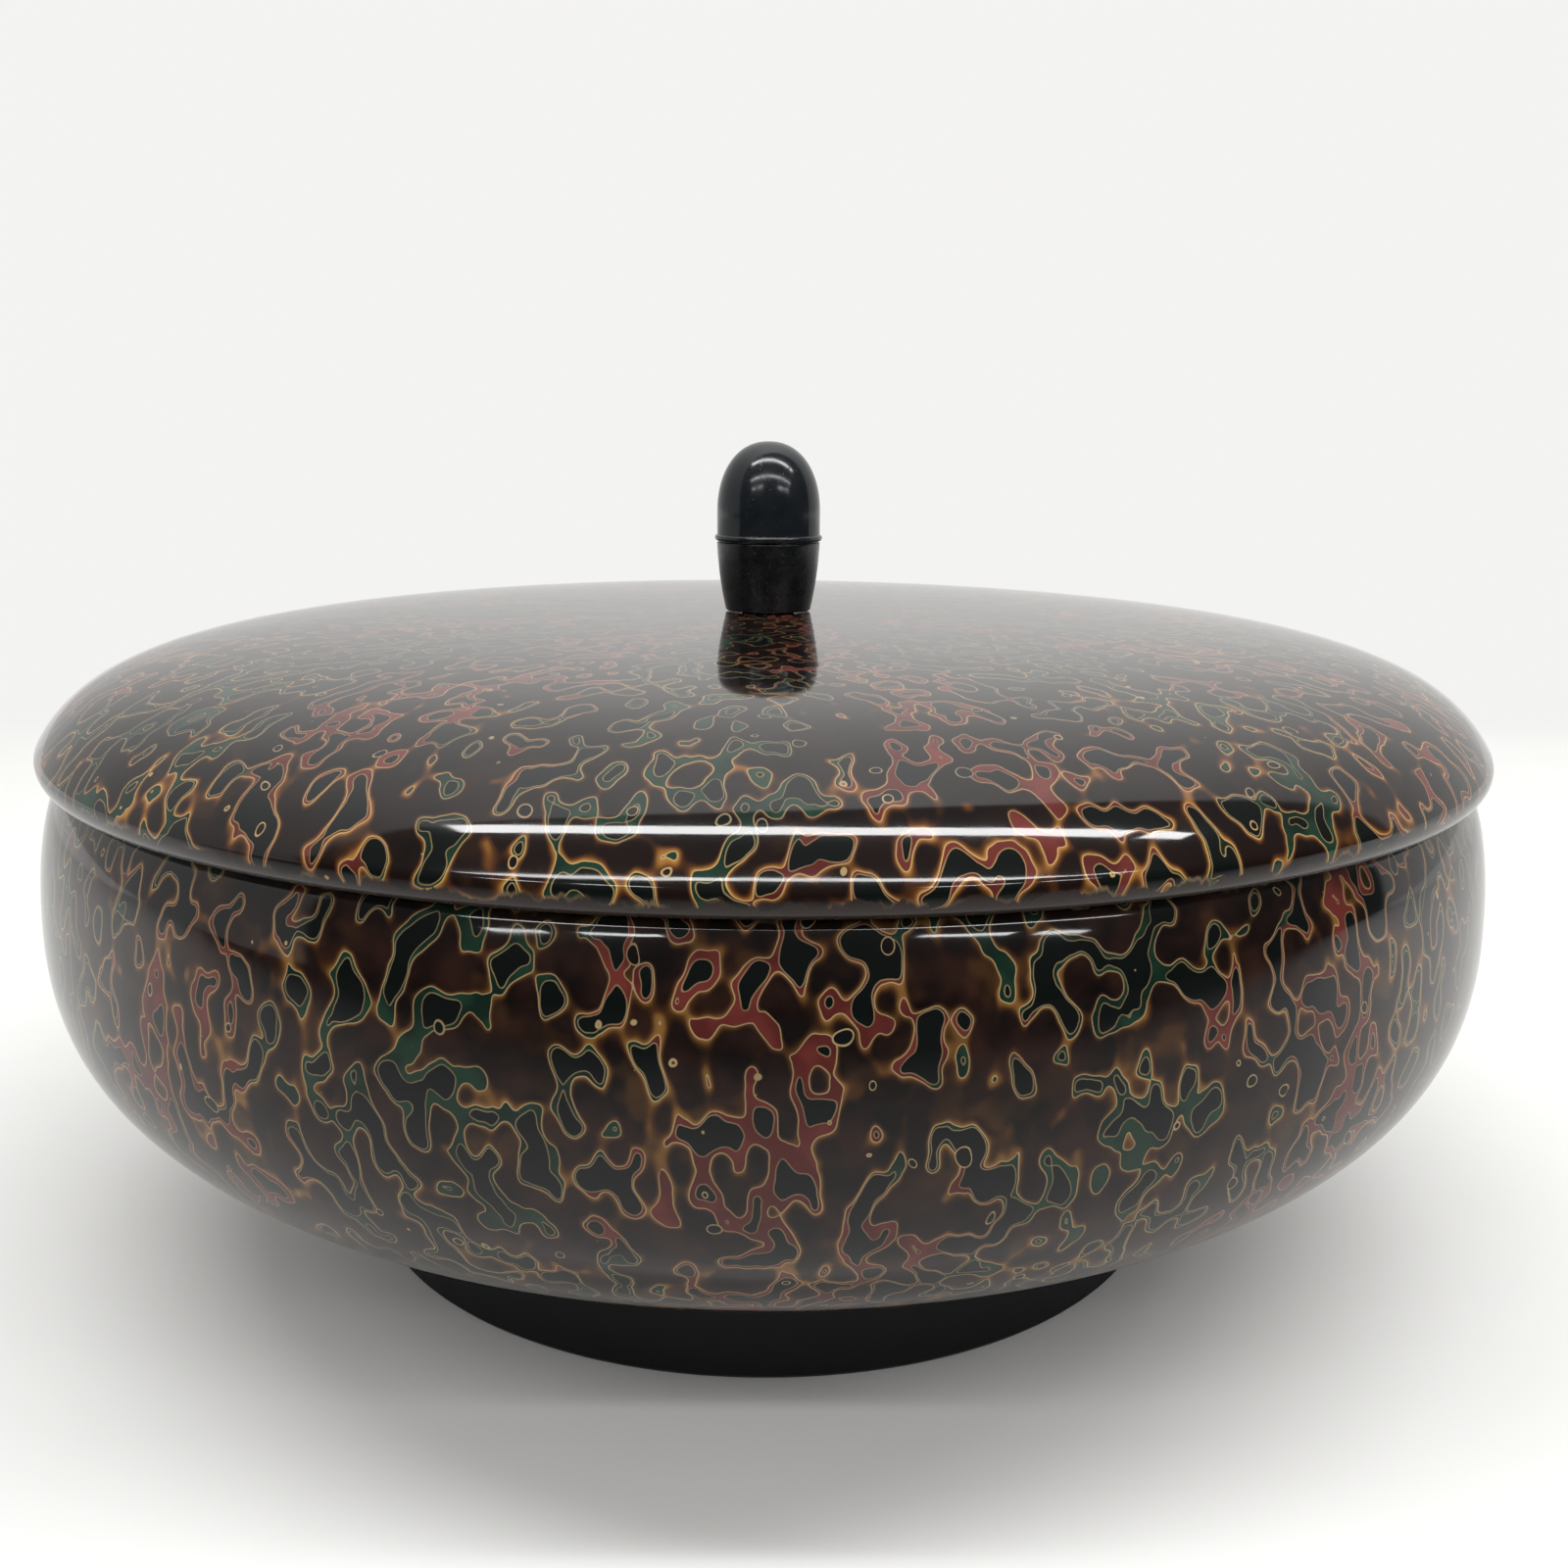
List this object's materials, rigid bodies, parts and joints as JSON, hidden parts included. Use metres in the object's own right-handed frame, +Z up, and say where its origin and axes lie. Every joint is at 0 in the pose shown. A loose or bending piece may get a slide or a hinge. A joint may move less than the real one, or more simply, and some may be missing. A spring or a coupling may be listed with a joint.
{
  "type": "lidded lacquer bowl",
  "caption": "Low round lacquered bowl on a foot ring, with a loose flat-domed lid that drops into the mouth and lifts off by a small two-piece knob.",
  "frame": {"origin": "on the table, at the middle of the foot ring", "axes": "+Z up along the axis that every turned piece shares; the picture looks along +Y"},
  "size_m": [0.2134, 0.2134, 0.1202],
  "materials": {
    "mottled_lacquer": "high gloss lacquer over turned wood: dark brown and green-black mottle with fine gold outlines, plain black inside",
    "black_satin_lacquer": "satin black lacquer over turned wood",
    "black_gloss": "gloss black",
    "brass": "turned brass",
    "steel": "zinc-plated steel"
  },
  "bodies": {
    "bowl_body": {"bowl": "mottled_lacquer", "foot_ring": "black_satin_lacquer"},
    "lid_body": {"lid": "mottled_lacquer", "knob_stem": "black_gloss", "knob_cap": "black_gloss", "knob_insert": "brass", "knob_screw": "steel", "knob_washer": "steel"}
  },
  "joints": [
    {"name": "lid_lift", "type": "slide", "parent": "bowl_body", "child": "lid_body", "axis": [0, 0, 1], "range_m": [0, 0.15]}
  ]
}
